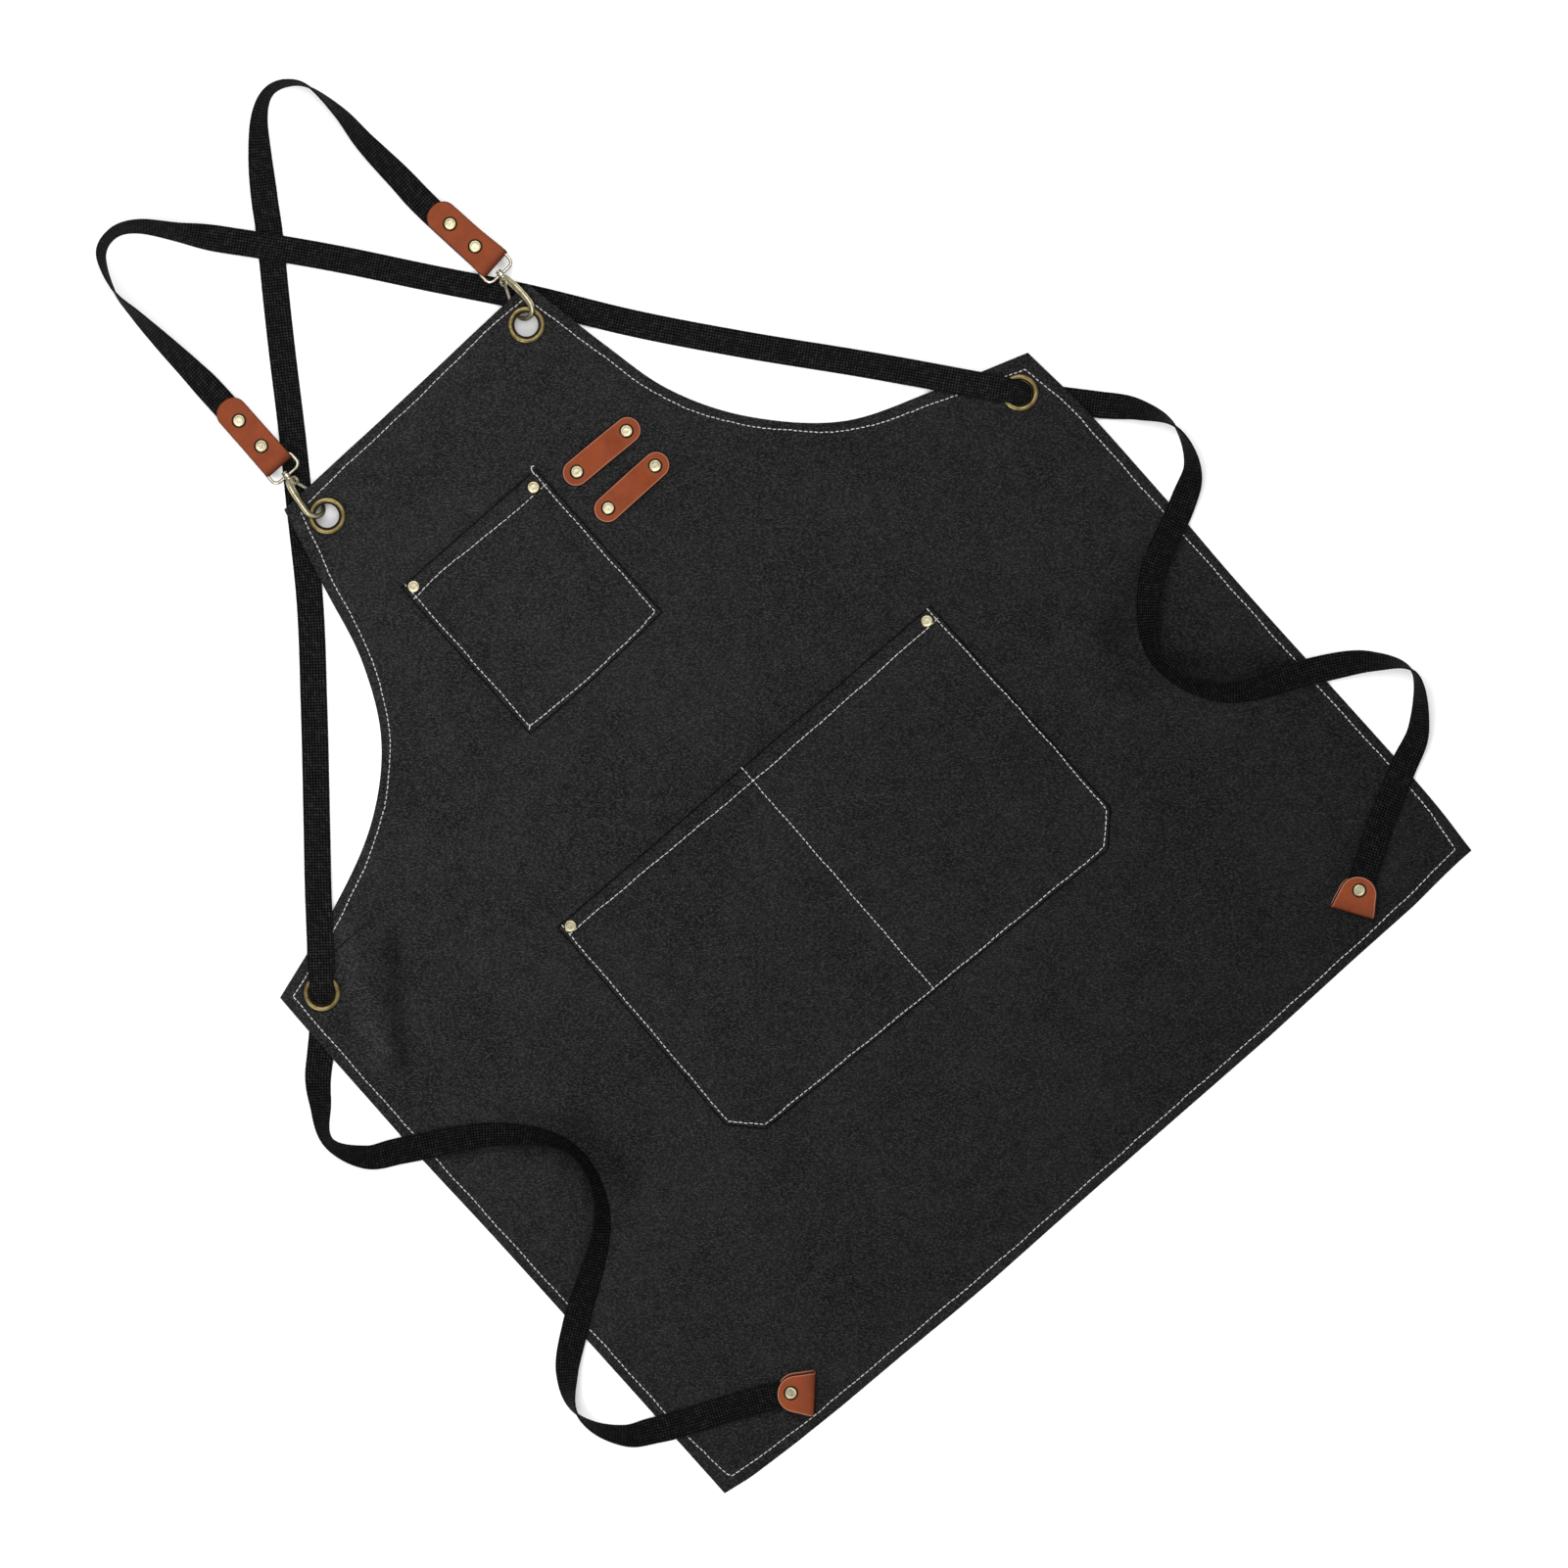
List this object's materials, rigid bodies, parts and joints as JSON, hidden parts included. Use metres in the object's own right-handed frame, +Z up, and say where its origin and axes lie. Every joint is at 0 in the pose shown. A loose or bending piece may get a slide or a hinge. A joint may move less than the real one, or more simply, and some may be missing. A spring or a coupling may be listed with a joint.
{
  "type": "cross-back artist apron",
  "caption": "Cross-back canvas work apron lying flat, with chest and waist pockets, riveted leather tool loops, brass grommets and webbing straps on snap hooks.",
  "frame": {"origin": "on the surface that the apron lies on, under the middle of the panel's box", "axes": "+Y toward the bib, +X to the right of someone looking at the apron's face, +Z up out of its face"},
  "size_m": [0.8024, 0.9757, 0.0196],
  "materials": {
    "canvas": "charcoal canvas with a faint heather, matt",
    "webbing": "black ribbed webbing, matt",
    "leather": "red-brown bridle leather with raw edges, satin",
    "antique_brass": "antique brass plate, worn bright on its edges",
    "pale_brass": "pale brass, satin polished",
    "nickel": "nickel-plated wire, bright"
  },
  "bodies": {
    "root": {"apron_panel": "canvas", "chest_pocket": "canvas", "waist_pocket": "canvas", "tool_loop_upper": "leather", "tool_loop_lower": "leather", "chest_pocket_rivet_left": "pale_brass", "chest_pocket_rivet_right": "pale_brass", "waist_pocket_rivet_left": "pale_brass", "waist_pocket_rivet_right": "pale_brass", "tool_loop_upper_rivet_left": "pale_brass", "tool_loop_upper_rivet_right": "pale_brass", "tool_loop_lower_rivet_left": "pale_brass", "tool_loop_lower_rivet_right": "pale_brass", "bib_grommet_left": "antique_brass", "bib_grommet_right": "antique_brass", "side_grommet_left": "antique_brass", "side_grommet_right": "antique_brass", "strap_left": "webbing", "strap_right": "webbing", "strap_tab_left": "leather", "strap_tab_left_rivet_1": "pale_brass", "strap_tab_left_rivet_2": "pale_brass", "hook_loop_left": "nickel", "snap_hook_left": "pale_brass", "strap_tab_right": "leather", "strap_tab_right_rivet_1": "pale_brass", "strap_tab_right_rivet_2": "pale_brass", "hook_loop_right": "nickel", "snap_hook_right": "pale_brass", "end_tab_left": "leather", "end_tab_left_rivet": "pale_brass", "end_tab_right": "leather", "end_tab_right_rivet": "pale_brass"},
    "lever_left": {"hook_lever_left": "nickel"},
    "lever_right": {"hook_lever_right": "nickel"}
  },
  "joints": [
    {"name": "lever_left_hinge", "type": "hinge", "parent": "root", "child": "lever_left", "pos_m": [-0.10286, 0.3783, 0.00685], "axis": [-0.6495, -0.0087, -0.7603], "range_deg": [0, 8], "stiffness_Nm_per_rad": 0.05, "springref_deg": -20.05},
    {"name": "lever_right_hinge", "type": "hinge", "parent": "root", "child": "lever_right", "pos_m": [0.10246, 0.38534, 0.00685], "axis": [-0.637, 0.1269, 0.7603], "range_deg": [0, 8], "stiffness_Nm_per_rad": 0.05, "springref_deg": -20.05}
  ]
}
